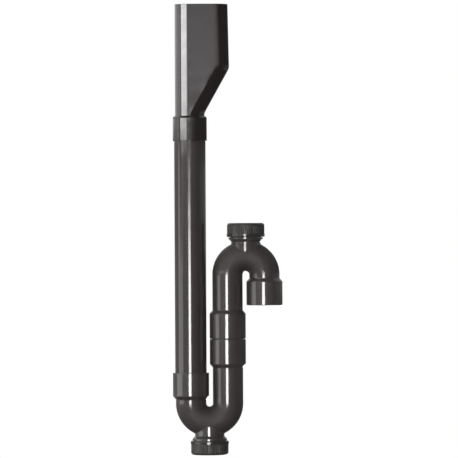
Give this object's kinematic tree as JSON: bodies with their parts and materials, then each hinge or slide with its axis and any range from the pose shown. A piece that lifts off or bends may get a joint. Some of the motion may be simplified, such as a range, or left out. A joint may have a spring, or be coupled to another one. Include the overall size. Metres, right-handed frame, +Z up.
{
  "type": "washing machine standpipe trap",
  "caption": "Black plastic standpipe trap: oval hose hopper on a straight waste pipe, running down into an S of glued U-bends with screwed cleanout caps.",
  "frame": {"origin": "centre of the outlet socket's mouth", "axes": "+Z up along the standpipe, +X from the standpipe towards the outlet, +Y from the front to the back"},
  "size_m": [0.14, 0.0484, 0.5728],
  "materials": {
    "hopper_plastic": "charcoal injection-moulded plastic, satin gloss",
    "pipe_plastic": "charcoal extruded pipe, glossy with faint draw lines",
    "fitting_plastic": "charcoal injection-moulded plastic, glossy",
    "cap_plastic": "charcoal injection-moulded plastic, semi-gloss, ribbed side",
    "seal_rubber": "black flat rubber washer"
  },
  "bodies": {
    "trap_body": {"hopper": "hopper_plastic", "standpipe": "pipe_plastic", "lower_bend": "fitting_plastic", "joining_nipple": "pipe_plastic", "upper_bend": "fitting_plastic"},
    "lower_seal_body": {"lower_cap_seal": "seal_rubber"},
    "lower_cap_body": {"lower_cap": "cap_plastic"},
    "upper_seal_body": {"upper_cap_seal": "seal_rubber"},
    "upper_cap_body": {"upper_cap": "cap_plastic"}
  },
  "joints": [
    {"name": "lower_cap_lift", "type": "slide", "parent": "trap_body", "child": "lower_seal_body", "axis": [0, 0, -1], "range_m": [0, 0.00924]},
    {"name": "lower_cap_turn", "type": "hinge", "parent": "lower_seal_body", "child": "lower_cap_body", "pos_m": [-0.0705, 0, -0.181], "axis": [0, 0, -1], "range_deg": [0, 1440]},
    {"name": "upper_cap_lift", "type": "slide", "parent": "trap_body", "child": "upper_seal_body", "axis": [0, 0, 1], "range_m": [0, 0.00924]},
    {"name": "upper_cap_turn", "type": "hinge", "parent": "upper_seal_body", "child": "upper_cap_body", "pos_m": [-0.0235, 0, 0.0956], "axis": [0, 0, 1], "range_deg": [0, 1440]}
  ],
  "couplings": [
    {"joint": "lower_cap_lift", "follows": "lower_cap_turn", "m_per_rad": 0.00036749},
    {"joint": "upper_cap_lift", "follows": "upper_cap_turn", "m_per_rad": 0.00036749}
  ]
}
